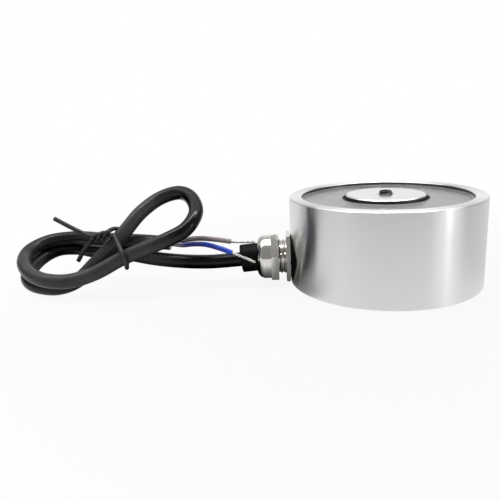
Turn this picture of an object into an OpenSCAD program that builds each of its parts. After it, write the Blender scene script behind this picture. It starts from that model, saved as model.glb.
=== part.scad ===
// Holding electromagnet: a turned steel pot with a potted coil round a pole core, a hexagon cable
// gland in its side, and a two-core lead coiled in three loops and held by a twist tie.
// The origin is the centre of the back face, +Z points to the pole face and the gland points to -X.

/* [Pot] */
// Outer diameter of the pot
pot_d = 65; // [58:1:75]
// Height of the pot, from its back face to its pole face
pot_h = 30; // [27:0.5:40]
// Thickness of the pot's side wall
pot_wall = 4.2; // [4:0.1:5.4]
// Thickness of the pot's base
pot_base = 5; // [4:0.25:7]
// Chamfer round the outer edge of the pole face
rim_chamfer = 0.4; // [0.2:0.1:1.5]
// Chamfer round the inner edge of the pole face
lip_chamfer = 0.3; // [0.1:0.1:0.6]
// Chamfer round the outer edge of the back face
foot_chamfer = 0.5; // [0.2:0.1:1]

/* [Pole core] */
// Diameter of the core
core_d = 26.5; // [22:0.5:30]
// Chamfer round the core's face
core_chamfer = 0.4; // [0.1:0.1:0.8]
// Diameter of the spigot that is pressed through the pot's base
spigot_d = 14; // [12:0.5:18]
// Tapping diameter of the mounting thread in the back
mount_tap_d = 6.8; // [5:0.1:8.5]
// Depth of the mounting thread
mount_depth = 12; // [8:0.5:14]
// Thread diameter of the hole in the core's face
face_thread_d = 5; // [4:0.5:6]
// Depth of the hole in the core's face
face_hole_depth = 9; // [8.5:0.5:11]
// Width that the hole's countersink adds all round
countersink = 0.4; // [0.2:0.1:0.8]

/* [Set screw] */
// Length of the set screw in the core's face
screw_len = 8; // [6:0.5:9]
// How far the set screw stands out of the core's face
screw_proud = 1.1; // [0.6:0.1:2]
// Width across the flats of its socket
socket_af = 2.5; // [2:0.1:3]
// Depth of its socket
socket_depth = 2.5; // [1.5:0.1:3.5]
// Chamfer round its end
screw_chamfer = 0.5; // [0.2:0.1:0.7]

/* [Coil] */
// Room between the coil and the pot's wall, where the leads run
coil_room = 2.7; // [2.4:0.1:4]
// Wall of the bobbin's hub
hub_wall = 1; // [0.8:0.1:1.6]
// Thickness of the bobbin's end flanges
bobbin_flange = 1.2; // [0.8:0.1:2]
// Thickness of the tape round the winding
tape_t = 0.35; // [0.2:0.05:0.6]
// How far the resin lies below the pole face
resin_recess = 1.5; // [0.8:0.1:2.5]
// Thickness of the resin over the bobbin
resin_t = 2.4; // [1.5:0.1:4]
// How far the end of the bobbin's hub lies below the resin
hub_below = 1.2; // [0.2:0.1:1.5]

/* [Cable gland] */
// Height of the gland's axis above the back face
gland_z = 9.2; // [9:0.1:12]
// Width across the flats of both hexagons
gland_af = 16; // [14:0.1:16]
// Turn of the body's hexagon about the gland's axis, in degrees
body_turn = 30; // [0:1:59]
// Turn of the dome nut's hexagon, in degrees
nut_turn = 17; // [0:0.5:59]
// Depth of the flat that is milled on the pot for the gland
spot_depth = 1; // [0.8:0.1:1.5]
// Diameter of the gland's thread
gland_thread_d = 12; // [11:0.1:12.4]
// How far the gland's thread reaches into the pot, past the inside of its wall
spigot_in = 0.7; // [0.4:0.1:0.8]
// Thickness of the rubber gasket under the hexagon
gasket_t = 1.2; // [1.1:0.1:2]
// Outer diameter of the gasket
gasket_d = 15.4; // [14:0.1:15.6]
// Thickness of the body's hexagon
flange_t = 1.4; // [1.2:0.1:3]
// Length of the thread that shows between the two hexagons
thread_shown = 2.6; // [1:0.1:3]
// Thickness of the dome nut's hexagon
nut_hex_t = 2.6; // [2:0.1:4]
// Length of the dome in front of the nut's hexagon
dome_len = 4.9; // [4.4:0.1:7]
// Diameter of the dome
dome_d = 15.2; // [14:0.1:15.8]
// Radius of the dome's shoulder
dome_round = 2.9; // [1:0.1:3]
// Thickness of the dome's end, round its mouth
dome_end = 1.2; // [0.8:0.1:1.8]
// Thickness of the seal ring inside the dome
seal_t = 1.6; // [1:0.1:2]
// Chamfer on the hexagons' corners
hex_chamfer = 0.5; // [0.2:0.1:0.9]

/* [Lead] */
// Diameter of the lead's jacket
cord_d = 5; // [4.4:0.1:5]
// Diameter of the two insulated cores
wire_d = 1.8; // [1.4:0.1:1.9]
// Diameter of the stripped conductors
strand_d = 0.95; // [0.6:0.05:1.1]
// Diameter of the rubber sleeve round the lead
sleeve_d = 9.8; // [8.6:0.1:9.8]
// How far the sleeve stands out of the dome
sleeve_out = 5.6; // [3:0.1:7]
// Radius of the sleeve's sag
sleeve_bend_r = 70; // [60:1:200]
// Diameter of the insulated joints between the lead and the winding
joint_d = 2.1; // [1.8:0.1:2.2]
// Thickness of the twist tie
tie_d = 1.5; // [1:0.1:1.5]

/* [Fits] */
// Radial clearance of pressed and potted pieces
press_gap = 0.02; // [0.01:0.01:0.05]
// Radial clearance of threads and slip fits
slip_gap = 0.1; // [0.05:0.01:0.15]
// Clearance between pieces that lie on each other
seat_gap = 0.05; // [0.02:0.01:0.1]
// Clearance of the sleeve in the dome's mouth
mouth_gap = 0.4; // [0.3:0.1:0.6]
// Clearance of the jacket in its sleeve
jacket_gap = 0.35; // [0.3:0.05:0.5]

/* [Hidden] */
$fn = 96;
over = 0.5;

pot_r = pot_d / 2;
pot_ri = pot_r - pot_wall;
core_r = core_d / 2;

// Heights inside the pot, from the base up
resin_top = pot_h - resin_recess;
resin_low = resin_top - resin_t;
bobbin_low = pot_base + seat_gap;
bobbin_top = resin_low - seat_gap;
hub_top = resin_top - hub_below;

// Radii of the coil, from the core outwards
hub_ri = core_r + slip_gap;
hub_ro = hub_ri + hub_wall;
tape_ro = pot_ri - coil_room;
tape_ri = tape_ro - tape_t;
winding_ri = hub_ro + press_gap;
winding_ro = tape_ri - press_gap;
winding_low = bobbin_low + bobbin_flange + press_gap;
winding_top = bobbin_top - bobbin_flange - press_gap;

// Places along the gland, outwards from the milled flat
seat_x = -(pot_r - spot_depth);
spigot_len = gasket_t + pot_wall - spot_depth + spigot_in;
flange_s = gasket_t;
thread_s = flange_s + flange_t;
nut_s = thread_s + thread_shown;
dome_s = nut_s + nut_hex_t;
mouth_s = dome_s + dome_len;
seal_out_s = mouth_s - dome_end - seat_gap;
seal_in_s = seal_out_s - seal_t;
body_end_s = seal_in_s - seat_gap;
mouth_x = seat_x - mouth_s;
thread_r = gland_thread_d / 2;
body_bore_r = sleeve_d / 2 + slip_gap;
hex_r = gland_af / 2 / cos(30);

// The sleeve is straight in the gland and sags from the end of the gland's body
sag_x = seat_x - body_end_s;
sag_angle = (sag_x - mouth_x + sleeve_out) / sleeve_bend_r * 180 / PI;
sleeve_in_x = seat_x - flange_s - slip_gap;

// The leads run in the room between the coil and the pot's wall
lead_r = (tape_ro + pot_ri) / 2;
lead_turn = 2.2;
lead_end_a = 30;
joint_a = 16;
wire_off = wire_d / 2 + seat_gap;

// The jacket's route: places along X are counted from the dome's mouth, heights from the back face
lead_points = [
    [14, 0, 9.2], [3, 0, 9.2], [-7, 0, 8.4], [-17, 0, 7.9], [-27, 0, 8.4], [-37, 0.5, 9.6],
    [-46.5, 2.5, 11], [-54.5, 7, 10.5], [-63, 13, 9.7], [-70, 16.8, 9.9], [-77.2, 16.3, 9.9],
    [-81.8, 12.6, 8.4], [-83.9, 6, 6.2], [-83.2, -1, 4.1], [-78, -6.6, 2.8], [-69, -9.8, 2.8],
    [-62, -9.2, 5], [-56, -7, 10.2], [-50.5, -5.5, 15.3], [-45.5, -3, 20.4], [-40.5, 1.5, 26],
    [-34.5, 6, 30], [-27.5, 5.5, 32], [-22.4, 1.5, 30.8], [-20, -4.5, 26.8], [-22.7, -10, 22.4],
    [-29, -12.5, 19.4], [-37, -12, 16.3], [-45.5, -11, 12.8], [-54, -13, 8.8], [-62.5, -14.5, 6.7],
    [-71, -13.3, 6.7], [-78.5, -8.2, 7.7], [-84, -0.5, 9.8], [-84.8, 7.4, 12.1], [-79.5, 13.3, 14.1],
    [-70, 14, 15], [-61, 9.5, 15.5], [-52, 4.2, 16], [-42, 1, 16], [-30.5, 0.5, 15],
];

// The two cores from the jacket's end, and where their stripped conductors end
brown_points = [[-25.5, 0.6, 16], [-20, 0.3, 16.4], [-14.5, 0, 15.9], [-9, 0, 15]];
brown_tip = [-0.6, 0, 14.6];
blue_points = [
    [-26, -0.8, 14.5], [-22, -1.6, 14.9], [-17.5, -2.6, 14.8], [-12.5, -4.2, 13.7], [-8.5, -5.2, 12.3],
];
blue_tip = [-0.7, -5.9, 8.9];

// The tie: its two tails, the ends of its twist, and its loop round the four strands of the lead
long_tail = [[-68.5, -6, 26.5], [-62.5, -5.8, 22.8]];
short_tail = [[-59.5, -6, 15], [-62, -6, 11.2]];
twist_from = [-56.8, -5.6, 19];
twist_to = [-49.8, -6.8, 20.8];
twist_turns = 1.5;
tie_loop = [
    [-48, -7.6, 20.1], [-47.2, -8.8, 19.4], [-45.3, -12, 17.6], [-43.9, -14.3, 15.2],
    [-43, -14.5, 12.6], [-43.3, -12.4, 10.3], [-44.6, -8, 9], [-46.2, -2, 7.8], [-47.4, 2.4, 7.3],
    [-47.8, 5.6, 8], [-47.9, 7.2, 10.2], [-47.7, 7.1, 14.3], [-47.5, 6, 18], [-47.5, 2.6, 19.7],
    [-48.3, -0.7, 21], [-49.3, -3.6, 21.7],
];

function unit(v) = v / norm(v);

// A smooth curve through the points, with n places on each stretch
function place(a, b, c, d, t) =
    (2 * b + (c - a) * t + (2 * a - 5 * b + 4 * c - d) * t * t + (3 * b - a - 3 * c + d) * t * t * t) / 2;
function smooth(p, n) =
    let (last = len(p) - 1)
    concat(
        [for (i = [0:last - 1], j = [0:n - 1])
            place(
                i == 0 ? 2 * p[0] - p[1] : p[i - 1], p[i], p[i + 1],
                i == last - 1 ? 2 * p[last] - p[last - 1] : p[i + 2], j / n
            )],
        [p[last]]
    );

// The tube's direction at each ring, and a side of the ring that is carried along without twisting
function heading(p, i) = unit(p[min(i + 1, len(p) - 1)] - p[max(i - 1, 0)]);
function carried(side, t) = unit(side - t * (side * t));
function ring_sides(p, side, i = 0) =
    i == len(p) ? [] :
    let (here = carried(side, heading(p, i)))
    concat([here], ring_sides(p, here, i + 1));

// A round tube along the points, as one closed solid
module tube(p, d, n) {
    side = ring_sides(p, abs(heading(p, 0)[2]) < 0.9 ? [0, 0, 1] : [0, 1, 0]);
    last = len(p) - 1;
    points = [
        for (i = [0:last], k = [0:n - 1])
            p[i] + d / 2 * (cos(360 * k / n) * side[i] + sin(360 * k / n) * cross(heading(p, i), side[i]))
    ];
    walls = [
        for (i = [0:last - 1], k = [0:n - 1], half = [0, 1])
            let (a = i * n + k, b = i * n + (k + 1) % n)
            half == 0 ? [a, a + n, b] : [b, a + n, b + n]
    ];
    ends = [[for (k = [0:n - 1]) k], [for (k = [n - 1:-1:0]) last * n + k]];
    polyhedron(points, concat(walls, ends), convexity = 10);
}

// Places on a helix from a to b, which starts at the given angle
function helix(a, b, r, turns, start, n) =
    let (t = unit(b - a), u = unit(cross(t, [0, 0, 1])), v = cross(u, t))
    [for (i = [0:n])
        let (w = start + 360 * turns * i / n)
        a + (b - a) * i / n + r * (cos(w) * u + sin(w) * v)];

function backwards(p) = [for (i = [len(p) - 1:-1:0]) p[i]];
function from_mouth(p) = [for (q = p) q + [mouth_x, 0, 0]];

// Turns what is drawn along +Z to point out along the gland, at the distance s from its seat
module on_gland(s) {
    translate([seat_x - s, 0, gland_z]) rotate([0, -90, 0]) children();
}

module ring(ro, ri, h) {
    difference() {
        cylinder(r = ro, h = h);
        translate([0, 0, -over]) cylinder(r = ri, h = h + 2 * over);
    }
}

// A hexagon with its corners turned off at the top, and at the bottom where both is true
module turned_hex(t, turn, both) {
    cut = hex_chamfer / 2;
    low = both ? hex_chamfer : 0;
    intersection() {
        rotate(turn) cylinder(r = hex_r, h = t, $fn = 6);
        rotate_extrude() polygon([
            [0, 0], [hex_r - low, 0], [hex_r, both ? cut : 0], [hex_r, t - cut], [hex_r - hex_chamfer, t],
            [0, t],
        ]);
    }
}

// The turned pot, with the bore for the core and the flat and the tapped hole for the gland
module pot_shell() {
    color("Silver") difference() {
        rotate_extrude() polygon([
            [spigot_d / 2 + press_gap, 0], [pot_r - foot_chamfer, 0], [pot_r, foot_chamfer],
            [pot_r, pot_h - rim_chamfer], [pot_r - rim_chamfer, pot_h], [pot_ri + lip_chamfer, pot_h],
            [pot_ri, pot_h - lip_chamfer], [pot_ri, pot_base], [spigot_d / 2 + press_gap, pot_base],
        ]);
        on_gland(0) cylinder(d = gasket_d + 2 * slip_gap, h = pot_wall);
        on_gland(gasket_t - spigot_len - slip_gap) cylinder(r = thread_r, h = spigot_len + pot_wall);
    }
}

// The core, with its spigot flush in the pot's back and a tapped hole at each end
module pole_core() {
    face_r = face_thread_d / 2;
    color("Gainsboro") difference() {
        rotate_extrude() polygon([
            [0, 0], [spigot_d / 2, 0], [spigot_d / 2, pot_base + press_gap], [core_r, pot_base + press_gap],
            [core_r, pot_h - core_chamfer], [core_r - core_chamfer, pot_h], [0, pot_h],
        ]);
        translate([0, 0, -over]) cylinder(d = mount_tap_d, h = mount_depth + over);
        translate([0, 0, pot_h - face_hole_depth]) cylinder(r = face_r, h = face_hole_depth + over);
        translate([0, 0, pot_h - countersink])
            cylinder(r1 = face_r, r2 = face_r + 2 * countersink, h = 2 * countersink);
    }
}

// The headless screw in the core's face, with its hexagon socket
module core_set_screw() {
    r = face_thread_d / 2 - slip_gap;
    low = pot_h + screw_proud - screw_len;
    color("DimGray") difference() {
        translate([0, 0, low]) rotate_extrude() polygon([
            [0, 0], [r - screw_chamfer, 0], [r, screw_chamfer], [r, screw_len - screw_chamfer],
            [r - screw_chamfer, screw_len], [0, screw_len],
        ]);
        translate([0, 0, low + screw_len - socket_depth])
            cylinder(r = socket_af / 2 / cos(30), h = socket_depth + over, $fn = 6);
    }
}

// The moulded bobbin, whose hub reaches up between the core and the resin
module coil_bobbin() {
    color("DarkSlateGray") rotate_extrude() polygon([
        [hub_ri, bobbin_low], [tape_ro, bobbin_low], [tape_ro, bobbin_low + bobbin_flange],
        [hub_ro, bobbin_low + bobbin_flange], [hub_ro, bobbin_top - bobbin_flange],
        [tape_ro, bobbin_top - bobbin_flange], [tape_ro, bobbin_top], [hub_ro, bobbin_top],
        [hub_ro, hub_top], [hub_ri, hub_top],
    ]);
}

module coil_winding() {
    color("Peru") translate([0, 0, winding_low]) ring(winding_ro, winding_ri, winding_top - winding_low);
}

module coil_tape() {
    color("Khaki") translate([0, 0, winding_low]) ring(tape_ro, tape_ri, winding_top - winding_low);
}

// The grey resin that closes the pot, below the pole face
module potting_resin() {
    color("Gray") translate([0, 0, resin_low]) ring(pot_ri - press_gap, hub_ro + press_gap, resin_t);
}

// A core of the lead, from the jacket's inner end round the coil to its joint with the winding
module inner_lead(way) {
    start = [[mouth_x + lead_points[0][0] + seat_gap, way * wire_off, gland_z]];
    bend = [for (t = [0:30:90]) [
        -lead_r - lead_turn * (1 - sin(t)), way * (wire_off + lead_turn * (1 - cos(t))), gland_z
    ]];
    arc = [for (a = [12:6:lead_end_a]) [-lead_r * cos(a), way * lead_r * sin(a), gland_z]];
    tube(concat(start, bend, arc), wire_d, 8);
}

// A soldered joint in its shrunk sleeve, bent round the coil
module joint(way) {
    gap_a = 2 * seat_gap / lead_r * 180 / PI;
    first = way > 0 ? -lead_end_a - gap_a - joint_a : lead_end_a + gap_a;
    translate([0, 0, gland_z]) rotate(180 + first) rotate_extrude(angle = joint_a)
        translate([lead_r, 0]) circle(d = joint_d, $fn = 32);
}

module brown_inner_lead() { color("SaddleBrown") inner_lead(1); }
module blue_inner_lead() { color("MediumBlue") inner_lead(-1); }
module brown_joint() { color("Black") joint(1); }
module blue_joint() { color("Black") joint(-1); }

module gland_gasket() {
    color("Black") on_gland(0) ring(gasket_d / 2, thread_r + seat_gap, gasket_t);
}

// The gland's body: the thread in the pot, the thin hexagon, and the thread for the nut
module gland_body() {
    r = thread_r - slip_gap / 2;
    color("LightGray") on_gland(0) difference() {
        union() {
            translate([0, 0, gasket_t - spigot_len]) cylinder(r = r, h = spigot_len + over);
            translate([0, 0, flange_s]) turned_hex(flange_t, body_turn, true);
            translate([0, 0, thread_s - over]) cylinder(r = r, h = body_end_s - thread_s + over);
        }
        translate([0, 0, -spigot_len]) cylinder(r = body_bore_r, h = body_end_s + spigot_len + over);
    }
}

// The rubber ring that the dome nut squeezes on the sleeve
module gland_seal() {
    color("Black") on_gland(seal_in_s) ring(thread_r, sleeve_d / 2 + seat_gap, seal_t);
}

// The dome nut: a hexagon that runs into a dome with a round shoulder, and a mouth for the sleeve
module gland_dome_nut() {
    dome_r = dome_d / 2;
    centre = [dome_r - dome_round, nut_hex_t + dome_len - dome_round];
    shoulder = [for (a = [0:10:90]) centre + dome_round * [cos(a), sin(a)]];
    color("LightGray") on_gland(nut_s) difference() {
        union() {
            mirror([0, 0, 1]) translate([0, 0, -nut_hex_t]) turned_hex(nut_hex_t, -nut_turn, true);
            rotate_extrude()
                polygon(concat([[0, over], [dome_r, over]], shoulder, [[0, nut_hex_t + dome_len]]));
        }
        translate([0, 0, -over]) cylinder(r = thread_r + slip_gap / 2, h = mouth_s - nut_s - dome_end + over);
        cylinder(r = sleeve_d / 2 + mouth_gap, h = mouth_s - nut_s + over);
    }
}

// The rubber sleeve that fills the gland round the thinner lead and sags a little outside it
module cord_sleeve() {
    bore_r = cord_d / 2 + jacket_gap;
    color("Black") {
        translate([sleeve_in_x, 0, gland_z]) rotate([0, -90, 0])
            ring(sleeve_d / 2, bore_r, sleeve_in_x - sag_x);
        translate([sag_x, 0, gland_z - sleeve_bend_r]) rotate([90, 0, 0]) rotate(90)
            rotate_extrude(angle = sag_angle) translate([sleeve_bend_r, 0]) difference() {
                circle(d = sleeve_d);
                circle(r = bore_r);
            }
    }
}

lead_route = from_mouth(smooth(lead_points, 2));
lead_end = lead_route[len(lead_route) - 1];
lead_heading = heading(lead_route, len(lead_route) - 1);

// The lead's jacket, from inside the gland through its loops to its cut end
module lead_cord() {
    color("Black") tube(lead_route, cord_d, 10);
}

// The route of a core that leaves the jacket's end beside its axis
function core_route(points, way) =
    let (
        beside = unit(cross([0, 0, 1], lead_heading)),
        start = lead_end + 3 * seat_gap * lead_heading + way * wire_off * beside
    )
    smooth(concat([start, start + 1.5 * lead_heading], from_mouth(points)), 3);
brown_route = core_route(brown_points, 1);
blue_route = core_route(blue_points, -1);

// A stripped conductor, straight on from the core's end and then to its tip
function conductor_route(core, tip) =
    let (
        t = heading(core, len(core) - 1), start = core[len(core) - 1] + seat_gap * t,
        bend = start + 1.5 * t, to = tip + [mouth_x, 0, 0]
    )
    smooth([start, bend, (bend + to) / 2, to], 2);

module brown_core() { color("Sienna") tube(brown_route, wire_d, 8); }
module blue_core() { color("MediumBlue") tube(blue_route, wire_d, 8); }
module brown_conductor() { color("Silver") tube(conductor_route(brown_route, brown_tip), strand_d, 8); }
module blue_conductor() { color("Silver") tube(conductor_route(blue_route, blue_tip), strand_d, 8); }

// The plastic-coated wire that ties the loops: a tail, the twist, round the lead, and back
module cord_tie() {
    r = tie_d / 2 + seat_gap;
    out = from_mouth(helix(twist_from, twist_to, r, twist_turns, 90, 12));
    back = from_mouth(backwards(helix(twist_from, twist_to, r, twist_turns, 270, 12)));
    color("DimGray") tube(concat(
        from_mouth(long_tail), out, from_mouth(smooth(tie_loop, 2)), back, from_mouth(short_tail)
    ), tie_d, 8);
}

pot_shell();
pole_core();
core_set_screw();
coil_bobbin();
coil_winding();
coil_tape();
potting_resin();
brown_inner_lead();
blue_inner_lead();
brown_joint();
blue_joint();
gland_gasket();
gland_body();
gland_seal();
gland_dome_nut();
cord_sleeve();
lead_cord();
brown_core();
blue_core();
brown_conductor();
blue_conductor();
cord_tie();
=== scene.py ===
import math

import bmesh
import bpy
from mathutils import Matrix, Vector


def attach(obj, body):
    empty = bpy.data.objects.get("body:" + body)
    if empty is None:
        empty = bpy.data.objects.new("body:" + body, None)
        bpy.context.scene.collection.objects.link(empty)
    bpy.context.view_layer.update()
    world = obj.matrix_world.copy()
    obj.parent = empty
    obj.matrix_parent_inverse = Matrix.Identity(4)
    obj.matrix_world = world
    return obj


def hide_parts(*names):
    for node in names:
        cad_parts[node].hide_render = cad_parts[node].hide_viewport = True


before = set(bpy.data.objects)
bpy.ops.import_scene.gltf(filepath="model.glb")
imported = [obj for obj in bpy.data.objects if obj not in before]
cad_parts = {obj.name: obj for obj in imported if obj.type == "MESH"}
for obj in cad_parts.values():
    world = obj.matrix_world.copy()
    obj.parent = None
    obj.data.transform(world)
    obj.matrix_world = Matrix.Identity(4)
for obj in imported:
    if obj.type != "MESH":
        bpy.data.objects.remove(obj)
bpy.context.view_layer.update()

# Camera. It stands 19 cm in front of the magnet and 6 cm up, a little to the left of the pot, and leans two
# and a half degrees to one side. A 65 by 30 mm cylinder seen from there covers the pot in the photograph.
MM = 0.001
CAMERA_AT = (-36.25, -186.51, 61.3)
right, up, ahead = (0.9981, 0.0446, -0.0433), (0.0304, 0.2585, 0.9655), (-0.0543, 0.9650, -0.2566)
lens = bpy.data.cameras.new("camera")
lens.sensor_width = 36
lens.lens = 39.59
lens.clip_start = 10 * MM
camera = bpy.data.objects.new("camera", lens)
bpy.context.scene.collection.objects.link(camera)
facing = Matrix((Vector(right), Vector(up), -Vector(ahead))).transposed().to_4x4()
camera.matrix_world = Matrix.Translation(Vector(CAMERA_AT) * MM) @ facing
bpy.context.scene.camera = camera

# Lead. A two-core cable in an extruded black PVC jacket. It comes out of the gland, goes twice round on the
# left and once on the right, where the stiff jacket holds the loop up, and its far end is cut off square.
MOUTH_X = -44.2
LEAD_D = 5
LEAD_POINTS = [
    (14, 0, 9.2), (3, 0, 9.2), (-7, 0, 8.4), (-17, 0, 7.9), (-27, 0, 8.4), (-37, 0.5, 9.6),
    (-46.5, 2.5, 11), (-54.5, 7, 10.5), (-63, 13, 9.7), (-70, 16.8, 9.9), (-77.2, 16.3, 9.9),
    (-81.8, 12.6, 8.4), (-83.9, 6, 6.2), (-83.2, -1, 4.1), (-78, -6.6, 2.8), (-69, -9.8, 2.8),
    (-62, -9.2, 5), (-56, -7, 10.2), (-50.5, -5.5, 15.3), (-45.5, -3, 20.4), (-40.5, 1.5, 26),
    (-34.5, 6, 30), (-27.5, 5.5, 32), (-22.4, 1.5, 30.8), (-20, -4.5, 26.8), (-22.7, -10, 22.4),
    (-29, -12.5, 19.4), (-37, -12, 16.3), (-45.5, -11, 12.8), (-54, -13, 8.8), (-62.5, -14.5, 6.7),
    (-71, -13.3, 6.7), (-78.5, -8.2, 7.7), (-84, -0.5, 9.8), (-84.8, 7.4, 12.1), (-79.5, 13.3, 14.1),
    (-70, 14, 15), (-61, 9.5, 15.5), (-52, 4.2, 16), (-42, 1, 16), (-30.5, 0.5, 15),
]


def from_mouth(points):
    """Points in mm, counted along X from the gland's mouth, as places in metres."""
    return [Vector((x + MOUTH_X, y, z)) * MM for x, y, z in points]


def bend_wire(name, routes, thickness, around, along):
    """Round wires of one thickness, each on a smooth line through its route's places."""
    data = bpy.data.curves.new(name, "CURVE")
    data.dimensions = "3D"
    data.bevel_depth = thickness * MM / 2
    data.bevel_resolution = around
    data.resolution_u = along
    data.use_fill_caps = True
    for route in routes:
        spline = data.splines.new("BEZIER")
        spline.bezier_points.add(len(route) - 1)
        ends = [2 * route[0] - route[1], *route, 2 * route[-1] - route[-2]]
        for knot, before, here, after in zip(spline.bezier_points, ends, ends[1:], ends[2:]):
            knot.handle_left_type = knot.handle_right_type = "FREE"
            knot.co = here
            knot.handle_left = here - (after - before) / 6
            knot.handle_right = here + (after - before) / 6
    piece = bpy.data.objects.new(name, data)
    bpy.context.scene.collection.objects.link(piece)
    return piece


def linear(hex_colour):
    """An sRGB hex colour as linear RGBA."""
    channels = [int(hex_colour[i:i + 2], 16) / 255 for i in (1, 3, 5)]
    return [c / 12.92 if c <= 0.04045 else ((c + 0.055) / 1.055) ** 2.4 for c in channels] + [1]


def add_node(tree, kind, inputs=None, **settings):
    """Adds a shader node with its settings, and gives each named input a value or a link to an output."""
    new = tree.nodes.new(kind)
    for name, value in settings.items():
        setattr(new, name, value)
    for name, value in (inputs or {}).items():
        if isinstance(value, bpy.types.NodeSocket):
            tree.links.new(value, new.inputs[name])
        else:
            new.inputs[name].default_value = value
    return new


def start_material(name, **constants):
    """A material with its shader's constant inputs set, as the material, its nodes and its shader."""
    material = bpy.data.materials.new(name)
    material.use_nodes = True
    shader = material.node_tree.nodes["Principled BSDF"]
    for socket, value in constants.items():
        shader.inputs[socket.replace("_", " ")].default_value = value
    return material, material.node_tree, shader


# Extruded PVC: black, most glossy on the loop that stands up, and greyer and duller on the outer loops, in
# patches of about 6 mm. The grey is painted light on their front and top, and their backs and undersides
# stay black as painted shade. The die leaves a fine grain of about 0.5 mm.
jacket_pvc, tree, shader = start_material("jacket_pvc", IOR=1.33)
place = add_node(tree, "ShaderNodeTexCoord").outputs["Object"]
patches = add_node(
    tree, "ShaderNodeTexNoise", {"Vector": place, "Scale": 1 / (6 * MM), "Detail": 3},
).outputs["Fac"]
grain = add_node(
    tree, "ShaderNodeTexNoise", {"Vector": place, "Scale": 1 / (0.5 * MM), "Detail": 2},
).outputs["Fac"]
spot = add_node(tree, "ShaderNodeSeparateXYZ", {"Vector": place})
outer = add_node(
    tree, "ShaderNodeMapRange",
    {"Value": spot.outputs["X"], "From Min": -69 * MM, "From Max": -81 * MM, "To Min": 0.0, "To Max": 0.8},
)
# Painted shade: the grey fades out towards the strands at the back, which lie in the loops' shadow.
painted_light_front = add_node(
    tree, "ShaderNodeMapRange",
    {
        "Value": spot.outputs["Y"], "From Min": 15 * MM, "From Max": 0.0, "To Min": 0.0,
        "To Max": outer.outputs["Result"],
    },
)
# Painted shade: the grey fades out low down, so the undersides near the floor stay black.
painted_light_top = add_node(
    tree, "ShaderNodeMapRange",
    {
        "Value": spot.outputs["Z"], "From Min": 3 * MM, "From Max": 6.5 * MM, "To Min": 0.0,
        "To Max": painted_light_front.outputs["Result"],
    },
)
uneven = add_node(
    tree, "ShaderNodeMapRange",
    {"Value": patches, "From Min": 0.3, "From Max": 0.7, "To Min": 0.8, "To Max": 1.2},
)
# The grey's share: painted light on the outer loops' front and top, varied at random in patches.
painted_light_grey = add_node(
    tree, "ShaderNodeMath", {0: painted_light_top.outputs["Result"], 1: uneven.outputs["Result"]},
    operation="MULTIPLY",
).outputs["Value"]
colour = add_node(
    tree, "ShaderNodeMix", {"Factor": painted_light_grey, "A": linear("#020203"), "B": linear("#424243")},
    data_type="RGBA",
)
glossy = add_node(
    tree, "ShaderNodeMapRange",
    {"Value": spot.outputs["Z"], "From Min": 12 * MM, "From Max": 18 * MM, "To Min": 0.28, "To Max": 0.12},
)
dull = add_node(
    tree, "ShaderNodeMapRange",
    {
        "Value": painted_light_grey, "From Min": 0.0, "From Max": 1.0, "To Min": glossy.outputs["Result"],
        "To Max": 0.34,
    },
)
skin = add_node(tree, "ShaderNodeBump", {"Height": grain, "Strength": 0.015, "Distance": 0.03 * MM})
tree.links.new(colour.outputs["Result"], shader.inputs["Base Color"])
tree.links.new(dull.outputs["Result"], shader.inputs["Roughness"])
tree.links.new(skin.outputs["Normal"], shader.inputs["Normal"])

lead_route = from_mouth(LEAD_POINTS)
lead = bend_wire("lead", [lead_route], LEAD_D, around=8, along=8)
lead.data.materials.append(jacket_pvc)
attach(lead, "root")
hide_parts("lead_cord")

# Sleeve. A short length of thick black rubber tube on the lead, which makes it up to the gland's bore.
# The dome nut squeezes it, and its free end sags a little with the lead.
SLEEVE_R, SLEEVE_BORE = 4.9, 2.85
SLEEVE_IN_X, SAG_X, SAG_R, SLEEVE_OUT = -32.8, -41.3, 70, 5.6
GLAND_Z = 9.2


def add_piece(name, bm, material, sharp=35):
    """Makes a piece of a bmesh, smooth but for the edges that are sharper than an angle in degrees."""
    for edge in bm.edges:
        edge.smooth = edge.calc_face_angle(math.pi) < math.radians(sharp)
    for face in bm.faces:
        face.smooth = True
    mesh = bpy.data.meshes.new(name)
    bm.to_mesh(mesh)
    bm.free()
    mesh.materials.append(material)
    piece = bpy.data.objects.new(name, mesh)
    bpy.context.scene.collection.objects.link(piece)
    return piece


def ease_edges(bm, width, angle=30):
    """Rounds every edge that is sharper than an angle, by a width in mm."""
    edges = [e for e in bm.edges if e.calc_face_angle(0) > math.radians(angle)]
    bmesh.ops.bevel(
        bm, geom=edges, offset=width * MM, offset_type="OFFSET", affect="EDGES", segments=3, profile=0.5,
        material=-1, clamp_overlap=True,
    )


bm = bmesh.new()
bmesh.ops.create_circle(bm, radius=SLEEVE_R * MM, segments=64)
bmesh.ops.create_circle(bm, radius=SLEEVE_BORE * MM, segments=64)
face_on_x = Matrix.Translation(Vector((SLEEVE_IN_X, 0, GLAND_Z)) * MM) @ Matrix.Rotation(math.pi / 2, 4, "Y")
bmesh.ops.transform(bm, matrix=face_on_x, verts=bm.verts[:])
cut_face = bmesh.ops.bridge_loops(bm, edges=bm.edges[:])["faces"]
straight = bmesh.ops.extrude_face_region(bm, geom=cut_face)["geom"]
end_ring = [v for v in straight if isinstance(v, bmesh.types.BMVert)]
end_face = [f for f in straight if isinstance(f, bmesh.types.BMFace)]
bmesh.ops.translate(bm, vec=((SAG_X - SLEEVE_IN_X) * MM, 0, 0), verts=end_ring)
sag = (SAG_X - MOUTH_X + SLEEVE_OUT) / SAG_R
bmesh.ops.spin(
    bm, geom=end_face, cent=Vector((SAG_X, 0, GLAND_Z - SAG_R)) * MM, axis=(0, -1, 0), angle=sag, steps=8,
)
bmesh.ops.delete(bm, geom=[f for f in end_face if f.is_valid], context="FACES_ONLY")
bmesh.ops.recalc_face_normals(bm, faces=bm.faces[:])
ease_edges(bm, width=0.25, angle=60)

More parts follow.
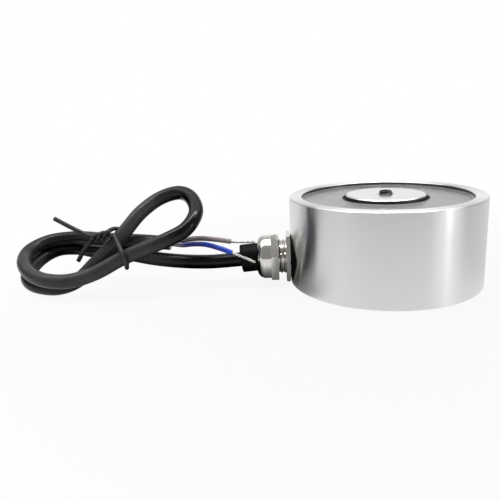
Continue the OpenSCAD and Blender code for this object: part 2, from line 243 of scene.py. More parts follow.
# Vulcanised rubber: black and matt, with a faint bloom in patches of about 2 mm.
black_rubber, tree, shader = start_material("black_rubber", IOR=1.22)
place = add_node(tree, "ShaderNodeTexCoord").outputs["Object"]
bloom = add_node(
    tree, "ShaderNodeTexNoise", {"Vector": place, "Scale": 1 / (2 * MM), "Detail": 4},
).outputs["Fac"]
grain = add_node(
    tree, "ShaderNodeTexNoise", {"Vector": place, "Scale": 1 / (0.3 * MM), "Detail": 2},
).outputs["Fac"]
colour = add_node(
    tree, "ShaderNodeMix", {"Factor": bloom, "A": linear("#020202"), "B": linear("#060606")},
    data_type="RGBA",
)
dull = add_node(
    tree, "ShaderNodeMapRange",
    {"Value": bloom, "From Min": 0.3, "From Max": 0.7, "To Min": 0.45, "To Max": 0.6},
)
skin = add_node(tree, "ShaderNodeBump", {"Height": grain, "Strength": 0.3, "Distance": 0.03 * MM})
tree.links.new(colour.outputs["Result"], shader.inputs["Base Color"])
tree.links.new(dull.outputs["Result"], shader.inputs["Roughness"])
tree.links.new(skin.outputs["Normal"], shader.inputs["Normal"])

sleeve = add_piece("sleeve", bm, black_rubber)
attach(sleeve, "root")
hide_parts("cord_sleeve")

# Cores. Two PVC-covered wires come out of the jacket's cut end side by side and run back towards the gland:
# the brown one above, the blue one in front. Both are stripped at the end.
WIRE_D, APART, STRAIGHT = 1.8, 0.95, 1.5
lead_heading = (lead_route[-1] - lead_route[-2]).normalized()
beside = Vector((0, 0, 1)).cross(lead_heading).normalized()
core_starts = {"brown": lead_route[-1] + beside * APART * MM, "blue": lead_route[-1] - beside * APART * MM}
core_points = {
    "brown": [(-25.5, 0.6, 16), (-20, 0.3, 16.4), (-14.5, 0, 15.9), (-9, 0, 15)],
    "blue": [
        (-26, -0.8, 14.5), (-22, -1.6, 14.9), (-17.5, -2.6, 14.8), (-12.5, -4.2, 13.7), (-8.5, -5.2, 12.3),
    ],
}
core_colours = {"brown": ("#7b736d", "#a39a94"), "blue": ("#05106c", "#1a50e4")}
for tint in ("brown", "blue"):
    # Coloured PVC: a soft satin skin, a little uneven in colour over about 3 mm and lighter towards its end.
    # The first 3 mm are drawn pale grey.
    wire_pvc, tree, shader = start_material(f"{tint}_pvc", IOR=1.53, Roughness=0.28)
    place = add_node(tree, "ShaderNodeTexCoord").outputs["Object"]
    uneven = add_node(
        tree, "ShaderNodeTexNoise", {"Vector": place, "Scale": 1 / (3 * MM), "Detail": 3},
    ).outputs["Fac"]
    dark, light = core_colours[tint]
    out_left = add_node(tree, "ShaderNodeSeparateXYZ", {"Vector": place}).outputs["X"]
    lighter_to_end = add_node(
        tree, "ShaderNodeMapRange",
        {"Value": out_left, "From Min": -66 * MM, "From Max": -54 * MM, "To Min": -0.5, "To Max": 0.4},
    )
    lighter_to_end = add_node(
        tree, "ShaderNodeMath", {0: uneven, 1: lighter_to_end.outputs["Result"]}, operation="ADD",
    ).outputs["Value"]
    colour = add_node(
        tree, "ShaderNodeMix", {"Factor": lighter_to_end, "A": linear(dark), "B": linear(light)}, data_type="RGBA",
    ).outputs["Result"]
    pale_start = add_node(
        tree, "ShaderNodeMapRange",
        {"Value": out_left, "From Min": -71.5 * MM, "From Max": -69 * MM, "To Min": 0.9, "To Max": 0.0},
    )
    colour = add_node(
        tree, "ShaderNodeMix", {"Factor": pale_start.outputs["Result"], "A": colour, "B": linear("#78767c")},
        data_type="RGBA",
    )
    tree.links.new(colour.outputs["Result"], shader.inputs["Base Color"])
    start = core_starts[tint]
    route = [start, start + lead_heading * STRAIGHT * MM, *from_mouth(core_points[tint])]
    core = bend_wire(f"{tint}_wire", [route], WIRE_D, around=4, along=8)
    core.data.materials.append(wire_pvc)
    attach(core, "root")
    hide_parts(f"{tint}_core")
    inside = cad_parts[f"{tint}_inner_lead"]
    inside.data.materials.clear()
    inside.data.materials.append(wire_pvc)

# Stripped ends. The seven tinned copper strands of each core, bare for about 8 mm where the insulation is
# cut off. Six strands are twisted round one.
STRAND_D, LAY_R, STRANDS, LAY_STEPS = 0.32, 0.31, 7, 12
tips = {"brown": (-0.6, 0, 14.6), "blue": (-0.7, -5.9, 8.9)}
# Tinned copper: bright grey and a little uneven where the tin lies thick, over about 0.6 mm.
tinned_copper, tree, shader = start_material("tinned_copper", Metallic=1.0, Roughness=0.24)
place = add_node(tree, "ShaderNodeTexCoord").outputs["Object"]
uneven = add_node(
    tree, "ShaderNodeTexNoise", {"Vector": place, "Scale": 1 / (0.6 * MM), "Detail": 2},
).outputs["Fac"]
colour = add_node(
    tree, "ShaderNodeMix", {"Factor": uneven, "A": linear("#bcb9b5"), "B": linear("#efede9")},
    data_type="RGBA",
)
tree.links.new(colour.outputs["Result"], shader.inputs["Base Color"])
for tint in ("brown", "blue"):
    last, before = from_mouth(core_points[tint])[-1], from_mouth(core_points[tint])[-2]
    ahead_here = (last - before).normalized()
    tip = from_mouth([tips[tint]])[0]
    bend = last + ahead_here * STRAIGHT * MM
    line = [last, bend, (bend + tip) / 2, tip]
    stretches = len(line) - 1
    routes = []
    for strand in range(STRANDS):
        route = []
        for step in range(LAY_STEPS + 1):
            share = step / LAY_STEPS * stretches
            i = min(int(share), stretches - 1)
            spot = line[i].lerp(line[i + 1], share - i)
            along = (line[i + 1] - line[i]).normalized()
            side = along.cross(Vector((0, 0, 1))).normalized()
            lay = math.radians(360 / (STRANDS - 1) * strand + 360 / LAY_STEPS * step)
            reach = 0 if strand == STRANDS - 1 else LAY_R * MM
            route.append(spot + reach * (math.cos(lay) * side + math.sin(lay) * side.cross(along)))
        routes.append(route)
    bundle = bend_wire(f"{tint}_strands", routes, STRAND_D, around=1, along=2)
    bundle.data.materials.append(tinned_copper)
    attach(bundle, "root")
    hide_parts(f"{tint}_conductor")

# Tie. A plastic-covered steel wire goes round the crossing of the loops, and its two ends are twisted
# together one and a half turns. A long tail points up to the left and a short one down.
TIE_D = 1.5
TWIST_FROM, TWIST_TO = (-56.8, -5.6, 19), (-49.8, -6.8, 20.8)
TWIST_TURNS, TWIST_R, TWIST_STEPS = 1.5, 0.8, 12
long_tail = [(-68.5, -6, 26.5), (-62.5, -5.8, 22.8)]
short_tail = [(-59.5, -6, 15), (-62, -6, 11.2)]
tie_loop = [
    (-48, -7.6, 20.1), (-47.2, -8.8, 19.4), (-45.3, -12, 17.6), (-43.9, -14.3, 15.2),
    (-43, -14.5, 12.6), (-43.3, -12.4, 10.3), (-44.6, -8, 9), (-46.2, -2, 7.8), (-47.4, 2.4, 7.3),
    (-47.8, 5.6, 8), (-47.9, 7.2, 10.2), (-47.7, 7.1, 14.3), (-47.5, 6, 18), (-47.5, 2.6, 19.7),
    (-48.3, -0.7, 21), (-49.3, -3.6, 21.7),
]
twist_from, twist_to = from_mouth([TWIST_FROM, TWIST_TO])
along = (twist_to - twist_from).normalized()
side = along.cross(Vector((0, 0, 1))).normalized()
rise = side.cross(along)
twists = []
for start in (90, 270):
    turns = [math.radians(start + 360 * TWIST_TURNS * i / TWIST_STEPS) for i in range(TWIST_STEPS + 1)]
    twists.append([
        twist_from.lerp(twist_to, i / TWIST_STEPS) + TWIST_R * MM * (math.cos(w) * side + math.sin(w) * rise)
        for i, w in enumerate(turns)
    ])
tie_route = from_mouth(long_tail) + twists[0] + from_mouth(tie_loop)
tie_route += twists[1][::-1] + from_mouth(short_tail)

# Soft PE over a wire: dark grey and waxy, rubbed lighter and duller in spots of about 1 mm.
tie_pe, tree, shader = start_material("tie_pe", IOR=1.51)
place = add_node(tree, "ShaderNodeTexCoord").outputs["Object"]
rubbed = add_node(
    tree, "ShaderNodeTexNoise", {"Vector": place, "Scale": 1 / (1 * MM), "Detail": 3},
).outputs["Fac"]
colour = add_node(
    tree, "ShaderNodeMix", {"Factor": rubbed, "A": linear("#161617"), "B": linear("#2d2d2e")},
    data_type="RGBA",
)
dull = add_node(
    tree, "ShaderNodeMapRange",
    {"Value": rubbed, "From Min": 0.3, "From Max": 0.7, "To Min": 0.38, "To Max": 0.52},
)
tree.links.new(colour.outputs["Result"], shader.inputs["Base Color"])
tree.links.new(dull.outputs["Result"], shader.inputs["Roughness"])
tie = bend_wire("tie", [tie_route], TIE_D, around=3, along=5)
tie.data.materials.append(tie_pe)
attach(tie, "root")
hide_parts("cord_tie")

# Pot. A cup turned from mild steel and nickel plated, with small chamfers on its edges. A round flat is
# milled on its side for the gland, with a tapped hole, and the core's spigot is pressed through its base.
POT_R, POT_H, POT_BORE, POT_BASE = 32.5, 30, 28.3, 5
RIM_CHAMFER, LIP_CHAMFER, FOOT_CHAMFER = 0.4, 0.3, 0.5
SPIGOT_R, CORE_R, PRESS_FIT = 7, 13.25, 0.02
SEAT_X, SPOT_R, GLAND_HOLE_R, GLAND_HOLE_X = -31.5, 7.8, 6, -27.5


def turn(outline, steps):
    """Turns an outline of radius and height in mm round Z. It is closed, or starts and ends on the axis."""
    bm = bmesh.new()
    spots = [bm.verts.new((r * MM, 0, z * MM)) for r, z in outline]
    for a, b in zip(spots, spots[1:]):
        bm.edges.new((a, b))
    if outline[0][0] > 0:
        bm.edges.new((spots[-1], spots[0]))
    bmesh.ops.spin(
        bm, geom=bm.verts[:] + bm.edges[:], cent=(0, 0, 0), axis=(0, 0, 1), angle=2 * math.pi, steps=steps,
        use_merge=True,
    )
    bmesh.ops.remove_doubles(bm, verts=bm.verts[:], dist=0.0001 * MM)
    bmesh.ops.dissolve_degenerate(bm, edges=bm.edges[:], dist=0.0001 * MM)
    bmesh.ops.recalc_face_normals(bm, faces=bm.faces[:])
    return bm


def combine(body, tool, how):
    """Joins, cuts or intersects two closed bmeshes, and returns the result."""
    blanks = []
    for bm in (body, tool):
        mesh = bpy.data.meshes.new("blank")
        bm.to_mesh(mesh)
        bm.free()
        blank = bpy.data.objects.new("blank", mesh)
        bpy.context.scene.collection.objects.link(blank)
        blanks.append(blank)
    step = blanks[0].modifiers.new("step", "BOOLEAN")
    step.operation, step.object, step.solver = how, blanks[1], "EXACT"
    made = bpy.data.meshes.new_from_object(blanks[0].evaluated_get(bpy.context.evaluated_depsgraph_get()))
    result = bmesh.new()
    result.from_mesh(made)
    bpy.data.meshes.remove(made)
    for blank in blanks:
        mesh = blank.data
        bpy.data.objects.remove(blank)
        bpy.data.meshes.remove(mesh)
    return result


def drill(radius, length):
    """A plain cylinder from the origin along Z."""
    return turn([(0, 0), (radius, 0), (radius, length), (0, length)], steps=96)


def out_along_gland(bm, s):
    """Turns what is drawn along Z to point out along the gland, s mm from the flat on the pot."""
    there = Matrix.Translation(Vector((SEAT_X - s, 0, GLAND_Z)) * MM) @ Matrix.Rotation(-math.pi / 2, 4, "Y")
    bmesh.ops.transform(bm, matrix=there, verts=bm.verts[:])
    return bm


bm = turn([
    (SPIGOT_R + PRESS_FIT, 0), (POT_R - FOOT_CHAMFER, 0), (POT_R, FOOT_CHAMFER),
    (POT_R, POT_H - RIM_CHAMFER), (POT_R - RIM_CHAMFER, POT_H), (POT_BORE + LIP_CHAMFER, POT_H),
    (POT_BORE, POT_H - LIP_CHAMFER), (POT_BORE, POT_BASE), (SPIGOT_R + PRESS_FIT, POT_BASE),
], steps=288)
ease_edges(bm, width=0.1)
bm = combine(bm, out_along_gland(drill(SPOT_R, length=5), 0), "DIFFERENCE")
bm = combine(bm, out_along_gland(drill(GLAND_HOLE_R, length=8), SEAT_X - GLAND_HOLE_X), "DIFFERENCE")


def plate_steel(name, grooved):
    """Nickel-plated steel. Where it is grooved, from 0 to 1, it draws reflections out across the grooves."""
    # The tool leaves grooves all round, about 0.1 mm apart and drawn at 0.4 mm to show, and the plating is
    # a little cloudy over about 15 mm. The walls of the ring that the coil fills are drawn dark grey and
    # rougher.
    steel, tree, shader = start_material(name, Metallic=1.0, Anisotropic=grooved, Anisotropic_Rotation=0.25)
    place = add_node(tree, "ShaderNodeTexCoord").outputs["Object"]
    flat = add_node(
        tree, "ShaderNodeVectorMath", {0: place, 1: (1, 1, 0)}, operation="MULTIPLY",
    ).outputs["Vector"]
    radius = add_node(tree, "ShaderNodeVectorMath", {0: flat}, operation="LENGTH").outputs["Value"]
    height = add_node(tree, "ShaderNodeSeparateXYZ", {"Vector": place}).outputs["Z"]
    across = add_node(tree, "ShaderNodeMath", {0: radius, 1: height}, operation="ADD").outputs["Value"]
    grooves = add_node(
        tree, "ShaderNodeTexNoise", {"W": across, "Scale": 1 / (0.4 * MM), "Detail": 3},
        noise_dimensions="1D",
    ).outputs["Fac"]
    cloud = add_node(
        tree, "ShaderNodeTexNoise", {"Vector": place, "Scale": 1 / (15 * MM), "Detail": 3},
    ).outputs["Fac"]
    plated = add_node(
        tree, "ShaderNodeMix", {"Factor": cloud, "A": linear("#dcdcdb"), "B": linear("#e6e6e5")},
        data_type="RGBA",
    ).outputs["Result"]
    dull = add_node(
        tree, "ShaderNodeMapRange",
        {"Value": cloud, "From Min": 0.3, "From Max": 0.7, "To Min": 0.28, "To Max": 0.3},
    ).outputs["Result"]
    in_pot = add_node(
        tree, "ShaderNodeMath", {0: radius, 1: (POT_BORE + 0.1) * MM}, operation="LESS_THAN",
    ).outputs["Value"]
    round_core = add_node(
        tree, "ShaderNodeMath", {0: radius, 1: (CORE_R - 0.05) * MM}, operation="GREATER_THAN",
    ).outputs["Value"]
    below_face = add_node(
        tree, "ShaderNodeMath", {0: height, 1: (POT_H - 0.35) * MM}, operation="LESS_THAN",
    ).outputs["Value"]
    bore = add_node(
        tree, "ShaderNodeMath", {0: in_pot, 1: round_core}, operation="MULTIPLY",
    ).outputs["Value"]
    bore = add_node(tree, "ShaderNodeMath", {0: bore, 1: below_face}, operation="MULTIPLY").outputs["Value"]
    colour = add_node(
        tree, "ShaderNodeMix", {"Factor": bore, "A": plated, "B": linear("#575452")}, data_type="RGBA",
    )
    rough = add_node(tree, "ShaderNodeMix", {"Factor": bore, "A": dull, "B": 0.4}, data_type="FLOAT")
    marks = add_node(tree, "ShaderNodeBump", {"Height": grooves, "Strength": 0.02, "Distance": 0.003 * MM})
    round_axis = add_node(tree, "ShaderNodeTangent", direction_type="RADIAL", axis="Z")
    tree.links.new(colour.outputs["Result"], shader.inputs["Base Color"])
    tree.links.new(rough.outputs["Result"], shader.inputs["Roughness"])
    tree.links.new(marks.outputs["Normal"], shader.inputs["Normal"])
    tree.links.new(round_axis.outputs["Tangent"], shader.inputs["Tangent"])
    return steel


pot = add_piece("pot", bm, plate_steel("turned_steel", 1.0))
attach(pot, "root")
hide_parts("pot_shell")

# Pole core. A solid steel slug, its face ground level with the rim. Its spigot is pressed through the pot's
# base and has the M8 mounting thread from behind. A smaller tapped hole in its face takes a set screw.
CORE_CHAMFER = 0.4
MOUNT_MAJOR, MOUNT_MINOR, MOUNT_DEPTH, MOUNT_PITCH, THREAD_SINK = 4.0, 3.4, 12, 1.25, 0.05
FACE_HOLE_R, FACE_HOLE_DEPTH, FACE_SINK = 2.5, 9, 0.4


def wind_thread(root, crest, pitch, low, turns, steps=48):
    """A helical ridge between two radii in mm, from a height up. Its crest is a tenth of the pitch wide."""
    bm = bmesh.new()
    section = [(root, 0), (crest, 0.4 * pitch), (crest, 0.5 * pitch), (root, 0.9 * pitch)]
    spots = [bm.verts.new((r * MM, 0, (low + z) * MM)) for r, z in section]
    start = bm.faces.new(spots)
    bmesh.ops.spin(
        bm, geom=[start], cent=(0, 0, 0), axis=(0, 0, 1), dvec=(0, 0, pitch * MM / steps),
        angle=2 * math.pi * turns, steps=round(steps * turns),
    )
    bmesh.ops.recalc_face_normals(bm, faces=bm.faces[:])
    return bm


def join(bm, other):
    """Adds another bmesh's shells to a bmesh."""
    mesh = bpy.data.meshes.new("blank")
    other.to_mesh(mesh)
    other.free()
    bm.from_mesh(mesh)
    bpy.data.meshes.remove(mesh)
    return bm


bm = turn([
    (0, POT_H - FACE_HOLE_DEPTH), (FACE_HOLE_R, POT_H - FACE_HOLE_DEPTH), (FACE_HOLE_R, POT_H - FACE_SINK),
    (FACE_HOLE_R + FACE_SINK, POT_H), (CORE_R - CORE_CHAMFER, POT_H), (CORE_R, POT_H - CORE_CHAMFER),
    (CORE_R, POT_BASE + PRESS_FIT), (SPIGOT_R, POT_BASE + PRESS_FIT), (SPIGOT_R, 0.1), (SPIGOT_R - 0.1, 0),
    (MOUNT_MAJOR + 0.2, 0), (MOUNT_MAJOR, 0.2), (MOUNT_MAJOR, MOUNT_DEPTH), (0, MOUNT_DEPTH + 2),
], steps=192)
ease_edges(bm, width=0.06)
bm = join(bm, wind_thread(MOUNT_MAJOR + THREAD_SINK, MOUNT_MINOR, MOUNT_PITCH, low=0.1, turns=8.5))

# Ground and plated steel: the wheel's marks are too fine to draw reflections out, so the face shines evenly.
core_slug = add_piece("core_slug", bm, plate_steel("ground_steel", 0.0))
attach(core_slug, "root")
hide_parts("pole_core")

# Set screw. A headless M5 screw of blackened steel with a hexagon socket, in the middle of the core's face.
# It is screwed in from the front and stands 1.1 mm proud.
SCREW_R, SCREW_ROOT, SCREW_LEN, SCREW_PROUD, SCREW_PITCH = 2.4, 2.05, 8, 1.1, 0.8
SOCKET_AF, SOCKET_DEPTH = 2.5, 2.5


def hexagon(across_flats, length):
    """A hexagonal bar from the origin along Z, with a corner on +X."""
    bm = bmesh.new()
    corner = across_flats / 2 / math.cos(math.pi / 6)
    bmesh.ops.create_circle(bm, cap_ends=True, radius=corner * MM, segments=6)
    bmesh.ops.rotate(bm, cent=(0, 0, 0), matrix=Matrix.Rotation(math.pi / 2, 3, "Z"), verts=bm.verts[:])
    grown = bmesh.ops.extrude_face_region(bm, geom=bm.faces[:])["geom"]
    far_corners = [v for v in grown if isinstance(v, bmesh.types.BMVert)]
    bmesh.ops.translate(bm, vec=(0, 0, length * MM), verts=far_corners)
    bmesh.ops.recalc_face_normals(bm, faces=bm.faces[:])
    return bm


screw_top = POT_H + SCREW_PROUD
screw_low = screw_top - SCREW_LEN
bm = turn([
    (0, screw_low), (SCREW_ROOT - 0.2, screw_low), (SCREW_ROOT, screw_low + 0.3),
    (SCREW_ROOT, screw_top - 0.35), (SCREW_ROOT - 0.15, screw_top), (0, screw_top),
], steps=64)
socket = hexagon(SOCKET_AF, SOCKET_DEPTH + 1)
bmesh.ops.translate(socket, vec=(0, 0, (screw_top - SOCKET_DEPTH) * MM), verts=socket.verts[:])
bm = combine(bm, socket, "DIFFERENCE")
screw_thread = wind_thread(SCREW_ROOT - THREAD_SINK, SCREW_R, SCREW_PITCH, low=screw_low + 0.3, turns=8.2)
bm = join(bm, screw_thread)

# Blackened steel: a thin dark oxide that shines a little, worn lighter in spots of about 0.4 mm.
black_oxide, tree, shader = start_material("black_oxide", Metallic=1.0, Roughness=0.36)
place = add_node(tree, "ShaderNodeTexCoord").outputs["Object"]
worn = add_node(
    tree, "ShaderNodeTexNoise", {"Vector": place, "Scale": 1 / (0.4 * MM), "Detail": 3},
).outputs["Fac"]
colour = add_node(
    tree, "ShaderNodeMix", {"Factor": worn, "A": linear("#2c2b2a"), "B": linear("#5c5a57")},
    data_type="RGBA",
)
tree.links.new(colour.outputs["Result"], shader.inputs["Base Color"])

screw = add_piece("set_screw", bm, black_oxide)
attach(screw, "root")
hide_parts("core_set_screw")

# Coil. Enamelled copper wire wound on a black moulded bobbin and taped, out of sight in the pot. Only the
# end of the bobbin's hub shows, as a dark ring round the core. Two sleeved joints lie beside the winding.
# Each finish has a dark and a light colour, a roughness, its share of metal and its mottling's size in mm.
hidden_finishes = {
    "coil_bobbin": ("moulded_nylon", "#08080a", "#101012", 0.55, 0.0, 1.5),
    "coil_winding": ("enamelled_copper", "#8a3f1c", "#b8602e", 0.3, 1.0, 0.8),
    "coil_tape": ("polyester_tape", "#b08c22", "#d0aa3c", 0.25, 0.0, 4),
    "brown_joint": ("shrink_tube", "#121213", "#222223", 0.45, 0.0, 1.2),
    "blue_joint": ("shrink_tube", "#121213", "#222223", 0.45, 0.0, 1.2),
}
for node, (finish, dark, light, rough, metal, spots) in hidden_finishes.items():
    surface, tree, shader = start_material(finish, Metallic=metal, Roughness=rough)
    place = add_node(tree, "ShaderNodeTexCoord").outputs["Object"]
    mottle = add_node(
        tree, "ShaderNodeTexNoise", {"Vector": place, "Scale": 1 / (spots * MM), "Detail": 3},
    ).outputs["Fac"]
    colour = add_node(
        tree, "ShaderNodeMix", {"Factor": mottle, "A": linear(dark), "B": linear(light)}, data_type="RGBA",
    )
    skin = add_node(tree, "ShaderNodeBump", {"Height": mottle, "Strength": 0.2, "Distance": 0.05 * MM})
    tree.links.new(colour.outputs["Result"], shader.inputs["Base Color"])
    tree.links.new(skin.outputs["Normal"], shader.inputs["Normal"])
    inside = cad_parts[node]
    inside.data.materials.clear()
    inside.data.materials.append(surface)

# Resin. Grey epoxy, poured over the coil and left to set 1.5 mm below the pole face. It creeps up a little
# where it wets the pot's wall and the bobbin's hub.
RESIN_IN, RESIN_OUT, RESIN_LOW, RESIN_TOP = 14.37, 28.28, 26.1, 28.5
creep = [(0, 0.35), (0.12, 0.2), (0.3, 0.09), (0.6, 0.02), (1.0, 0)]
bm = turn(
    [(RESIN_IN, RESIN_LOW)] + [(RESIN_IN + r, RESIN_TOP + z) for r, z in creep]
    + [(r, RESIN_TOP) for r in (18, 21, 24)]
    + [(RESIN_OUT - r, RESIN_TOP + z) for r, z in creep[::-1]] + [(RESIN_OUT, RESIN_LOW)],
    steps=192,
)
# Cast epoxy: mid grey with fine filler specks of about 0.4 mm, and a glossy skin that isn't quite level
# over about 8 mm.
cast_epoxy, tree, shader = start_material("cast_epoxy", IOR=1.55)
place = add_node(tree, "ShaderNodeTexCoord").outputs["Object"]
filler = add_node(
    tree, "ShaderNodeTexNoise", {"Vector": place, "Scale": 1 / (0.4 * MM), "Detail": 2},
).outputs["Fac"]
swell = add_node(
    tree, "ShaderNodeTexNoise", {"Vector": place, "Scale": 1 / (8 * MM), "Detail": 2},
).outputs["Fac"]
colour = add_node(
    tree, "ShaderNodeMix", {"Factor": filler, "A": linear("#6a6a69"), "B": linear("#7c7c7a")},
    data_type="RGBA",
)
dull = add_node(
    tree, "ShaderNodeMapRange",
    {"Value": swell, "From Min": 0.3, "From Max": 0.7, "To Min": 0.2, "To Max": 0.32},
)
wave = add_node(tree, "ShaderNodeBump", {"Height": swell, "Strength": 0.3, "Distance": 0.1 * MM})
tree.links.new(colour.outputs["Result"], shader.inputs["Base Color"])
tree.links.new(dull.outputs["Result"], shader.inputs["Roughness"])
tree.links.new(wave.outputs["Normal"], shader.inputs["Normal"])

resin = add_piece("resin", bm, cast_epoxy)
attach(resin, "root")
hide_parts("potting_resin")

# Gasket. A black rubber washer under the gland's hexagon, squeezed against the flat on the pot so that its
# edge bulges.
GASKET_R, GASKET_BORE, GASKET_T = 7.7, 6.05, 1.2
bm = turn([
    (GASKET_BORE, 0), (GASKET_R - 0.3, 0), (GASKET_R - 0.08, 0.2), (GASKET_R, 0.45), (GASKET_R, 0.75),
    (GASKET_R - 0.08, 1.0), (GASKET_R - 0.3, GASKET_T), (GASKET_BORE, GASKET_T),
], steps=96)
gasket = add_piece("gasket", out_along_gland(bm, 0), black_rubber)
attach(gasket, "root")
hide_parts("gland_gasket")

# Gland body. Turned from hexagonal brass bar and nickel plated: a threaded spigot in the pot, a thin
# hexagon with its corners turned off, and a threaded neck, of which a turn or two shows below the dome nut.
HEX_AF, HEX_CHAMFER = 16, 0.5
HEX_R = HEX_AF / 2 / math.cos(math.pi / 6)
FLANGE_S, FLANGE_T, BODY_TURN = 1.2, 1.4, 30
NECK_ROOT, NECK_CREST, NECK_PITCH = 5.55, 5.95, 1.27
BODY_BORE, BODY_LOW, BODY_END = 5.0, -3.9, 9.8


def turned_hexagon(thickness, angle):
    """A slice of hexagonal bar with its corners turned off, turned about Z by an angle in degrees."""
    bar = hexagon(HEX_AF, thickness)
    twist = Matrix.Rotation(math.radians(angle), 3, "Z")
    bmesh.ops.rotate(bar, cent=(0, 0, 0), matrix=twist, verts=bar.verts[:])
    half = HEX_CHAMFER / 2
    return combine(bar, turn([
        (0, 0), (HEX_R - HEX_CHAMFER, 0), (HEX_R, half), (HEX_R, thickness - half),
        (HEX_R - HEX_CHAMFER, thickness), (0, thickness),
    ], steps=144), "INTERSECT")


flange = turned_hexagon(FLANGE_T, BODY_TURN)
bmesh.ops.translate(flange, vec=(0, 0, FLANGE_S * MM), verts=flange.verts[:])
bm = combine(flange, turn([
    (BODY_BORE, BODY_LOW), (NECK_ROOT, BODY_LOW), (NECK_ROOT, BODY_END), (BODY_BORE, BODY_END),
], steps=96), "UNION")
bm = combine(bm, drill(BODY_BORE - 0.01, BODY_END + 1), "DIFFERENCE")
ease_edges(bm, width=0.08, angle=25)
for low, turns in ((FLANGE_S + FLANGE_T - 0.9, 4.6), (BODY_LOW + 0.1, 3)):
    bm = join(bm, wind_thread(NECK_ROOT - THREAD_SINK, NECK_CREST, NECK_PITCH, low, turns, steps=72))

# Nickel-plated brass: bright and a little warm. The bar stock's drawn surface is uneven over about 1.5 mm.
plated_brass, tree, shader = start_material("plated_brass", Metallic=1.0)
place = add_node(tree, "ShaderNodeTexCoord").outputs["Object"]
drawn = add_node(
    tree, "ShaderNodeTexNoise", {"Vector": place, "Scale": 1 / (1.5 * MM), "Detail": 4},
).outputs["Fac"]
colour = add_node(
    tree, "ShaderNodeMix", {"Factor": drawn, "A": linear("#c9c6c0"), "B": linear("#dedcd7")},
    data_type="RGBA",
)
dull = add_node(
    tree, "ShaderNodeMapRange",
    {"Value": drawn, "From Min": 0.3, "From Max": 0.7, "To Min": 0.07, "To Max": 0.13},
)
ripple = add_node(tree, "ShaderNodeBump", {"Height": drawn, "Strength": 0.12, "Distance": 0.03 * MM})
tree.links.new(colour.outputs["Result"], shader.inputs["Base Color"])
tree.links.new(dull.outputs["Result"], shader.inputs["Roughness"])
tree.links.new(ripple.outputs["Normal"], shader.inputs["Normal"])

gland = add_piece("gland", out_along_gland(bm, 0), plated_brass)
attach(gland, "root")
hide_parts("gland_body")

# Dome nut. The same plated brass: a hexagon that runs into a dome with a round shoulder. It screws on the
# neck and squeezes a rubber ring inside it onto the sleeve.
NUT_S, NUT_HEX_T, NUT_TURN, NUT_BORE, MOUTH_R = 5.2, 2.6, 17, 6.05, 5.3
DOME_LEN, DOME_R, DOME_ROUND, DOME_END = 4.9, 7.6, 2.9, 1.2
top = NUT_HEX_T + DOME_LEN
arc = [math.radians(a) for a in range(0, 91, 9)]
shoulder = [
    (DOME_R - DOME_ROUND * (1 - math.cos(a)), top - DOME_ROUND * (1 - math.sin(a)))
    for a in arc
]
dome = turn([(0, 0.5), (DOME_R, 0.5), *shoulder, (0, top)], steps=128)
bm = combine(turned_hexagon(NUT_HEX_T, -NUT_TURN), dome, "UNION")
bore = drill(NUT_BORE, top - DOME_END + 1)
bmesh.ops.translate(bore, vec=(0, 0, -1 * MM), verts=bore.verts[:])
bm = combine(bm, bore, "DIFFERENCE")
bm = combine(bm, drill(MOUTH_R, top + 1), "DIFFERENCE")
ease_edges(bm, width=0.08, angle=25)
nut = add_piece("dome_nut", out_along_gland(bm, NUT_S), plated_brass)
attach(nut, "root")
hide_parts("gland_dome_nut")
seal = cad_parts["gland_seal"]
seal.data.materials.clear()
seal.data.materials.append(black_rubber)

# Floor. A sheet of pale paper that runs out of sight. Seen directly it is nearly as bright as the
# background, and keeps a part of the magnet's shadow. Seen in the metal it is bright too, but dimmer behind
# on the right. It also has two painted shadows, dark patches at the pot's foot by the gland and under the
# lead.
FLOOR_HALF, FLOOR_DROP = 3, 0.02
bm = bmesh.new()
bmesh.ops.create_grid(bm, x_segments=1, y_segments=1, size=FLOOR_HALF)
white_paper, tree, shader = start_material("white_paper", Roughness=0.9)
shader.inputs["Base Color"].default_value = linear("#b8b8b7")
path = add_node(tree, "ShaderNodeLightPath")
place = add_node(tree, "ShaderNodeTexCoord").outputs["Object"]
away = add_node(tree, "ShaderNodeVectorMath", {0: place}, operation="LENGTH").outputs["Value"]
direct = add_node(
    tree, "ShaderNodeMapRange",
    {"Value": away, "From Min": 70 * MM, "From Max": 180 * MM, "To Min": 0.9, "To Max": 1.0},
    interpolation_type="SMOOTHSTEP",
).outputs["Result"]
back_right = add_node(
    tree, "ShaderNodeVectorMath", {0: place, 1: (0.8, 0.6, 0)}, operation="DOT_PRODUCT",
).outputs["Value"]
mirrored = add_node(
    tree, "ShaderNodeMapRange",
    {"Value": back_right, "From Min": 10 * MM, "From Max": 40 * MM, "To Min": 1.0, "To Max": 0.8},
).outputs["Result"]
# Each painted shadow has a middle, two half lengths, its edge in shares of them, and its level in the
# middle.
painted_shadows = [
    ((-34, -10, 0), (9, 18), (0.3, 1.3), 0.35),
    ((-77, 10, 0), (48, 23), (0.8, 1.45), 0.0),
]
for centre, (long, wide), (edge_in, edge_out), darkest in painted_shadows:
    middle, spread = Vector(centre) * MM, (1 / (long * MM), 1 / (wide * MM), 0)
    off = add_node(
        tree, "ShaderNodeVectorMath", {0: place, 1: middle}, operation="SUBTRACT",
    ).outputs["Vector"]
    off = add_node(
        tree, "ShaderNodeVectorMath", {0: off, 1: spread}, operation="MULTIPLY",
    ).outputs["Vector"]
    off = add_node(tree, "ShaderNodeVectorMath", {0: off}, operation="LENGTH").outputs["Value"]
    mirrored = add_node(
        tree, "ShaderNodeMapRange",
        {"Value": off, "From Min": edge_in, "From Max": edge_out, "To Min": darkest, "To Max": mirrored},
        interpolation_type="SMOOTHSTEP",
    ).outputs["Result"]
in_metal = add_node(
    tree, "ShaderNodeMath", {0: path.outputs["Is Glossy Ray"], 1: path.outputs["Is Transmission Ray"]},
    operation="MAXIMUM",
)
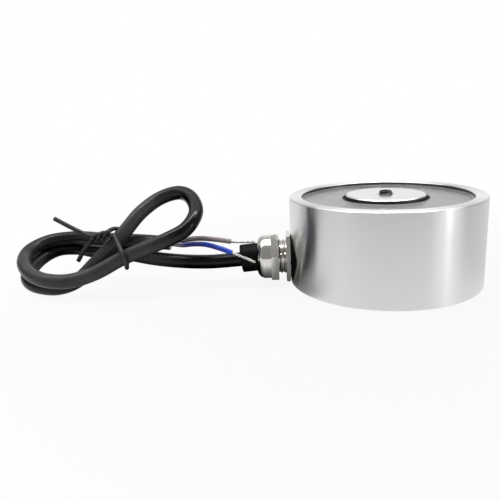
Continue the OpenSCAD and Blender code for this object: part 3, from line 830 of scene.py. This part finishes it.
share = add_node(
    tree, "ShaderNodeMath", {0: path.outputs["Is Camera Ray"], 1: direct, 2: in_metal.outputs["Value"]},
    operation="MULTIPLY_ADD",
)
level = add_node(
    tree, "ShaderNodeMix", {"Factor": path.outputs["Is Camera Ray"], "A": mirrored, "B": 1.0},
    data_type="FLOAT",
)
glow = add_node(tree, "ShaderNodeEmission", {"Color": (1, 1, 1, 1), "Strength": level.outputs["Result"]})
blend = add_node(
    tree, "ShaderNodeMixShader",
    {0: share.outputs["Value"], 1: shader.outputs["BSDF"], 2: glow.outputs["Emission"]},
)
tree.links.new(blend.outputs["Shader"], tree.nodes["Material Output"].inputs["Surface"])
floor = add_piece("floor", bm, white_paper)
floor.location.z = -FLOOR_DROP * MM

# Light. A wide softbox and a narrow tube overhead and a small lamp on the right, in a white room that is
# darker on the camera's side. A soft strip stands on the right and a dark flag on the left, both drawn in
# the room's light.
AIM = Vector((-0.03, 0, 0.015))
# Each lamp has a place and a size in metres, and a power in watts.
lamps = {
    "overhead": ((-0.03, 0.064, 0.5), (1.2, 0.4), 2.2),
    "tube": ((-0.03, -0.03, 0.45), (0.6, 0.03), 1.0),
    "right": ((0.41, -0.22, 0.18), (0.06, 0.06), 0.1),
}
for name, (spot, size, power) in lamps.items():
    lamp = bpy.data.lights.new(name, "AREA")
    lamp.shape = "RECTANGLE"
    lamp.size, lamp.size_y = size
    lamp.energy = power
    holder = bpy.data.objects.new(name, lamp)
    holder.location = spot
    holder.rotation_euler = (AIM - Vector(spot)).to_track_quat("-Z", "Y").to_euler()
    bpy.context.scene.collection.objects.link(holder)

room = bpy.data.worlds.new("room")
bpy.context.scene.world = room
room.use_nodes = True
tree = room.node_tree
towards = add_node(tree, "ShaderNodeTexCoord").outputs["Generated"]
way = add_node(tree, "ShaderNodeSeparateXYZ", {"Vector": towards})
front = add_node(
    tree, "ShaderNodeMapRange",
    {"Value": way.outputs["Y"], "From Min": -0.6, "From Max": 0.7, "To Min": 0.33, "To Max": 0.57},
)
behind = add_node(
    tree, "ShaderNodeVectorMath", {0: towards, 1: (0.17, 0.94, 0.3)}, operation="DOT_PRODUCT",
).outputs["Value"]
depth = add_node(
    tree, "ShaderNodeMapRange",
    {"Value": behind, "From Min": 0.8, "From Max": 0.96, "To Min": front.outputs["Result"], "To Max": 1.0},
)
left = add_node(
    tree, "ShaderNodeVectorMath", {0: towards, 1: (-0.97, 0.24, 0)}, operation="DOT_PRODUCT",
).outputs["Value"]
flag = add_node(
    tree, "ShaderNodeMapRange",
    {"Value": left, "From Min": 0.9, "From Max": 0.97, "To Min": 1.0, "To Max": 0.0},
)
dim = add_node(
    tree, "ShaderNodeMath", {0: depth.outputs["Result"], 1: flag.outputs["Result"]}, operation="MULTIPLY",
)
right_side = add_node(
    tree, "ShaderNodeVectorMath", {0: towards, 1: (0.88, -0.47, 0)}, operation="DOT_PRODUCT",
).outputs["Value"]
strip = add_node(
    tree, "ShaderNodeMapRange",
    {"Value": right_side, "From Min": 0.9, "From Max": 1.0, "To Min": 0.0, "To Max": 1.5},
    interpolation_type="SMOOTHSTEP",
)
lit = add_node(
    tree, "ShaderNodeMath", {0: dim.outputs["Value"], 1: strip.outputs["Result"]}, operation="ADD",
)
path = add_node(tree, "ShaderNodeLightPath")
level = add_node(
    tree, "ShaderNodeMix", {"Factor": path.outputs["Is Camera Ray"], "A": lit.outputs["Value"], "B": 1.0},
    data_type="FLOAT",
)
tree.links.new(level.outputs["Result"], tree.nodes["Background"].inputs["Strength"])
tree.nodes["Background"].inputs["Color"].default_value = (1, 1, 1, 1)
bpy.context.scene.view_settings.view_transform = "Standard"
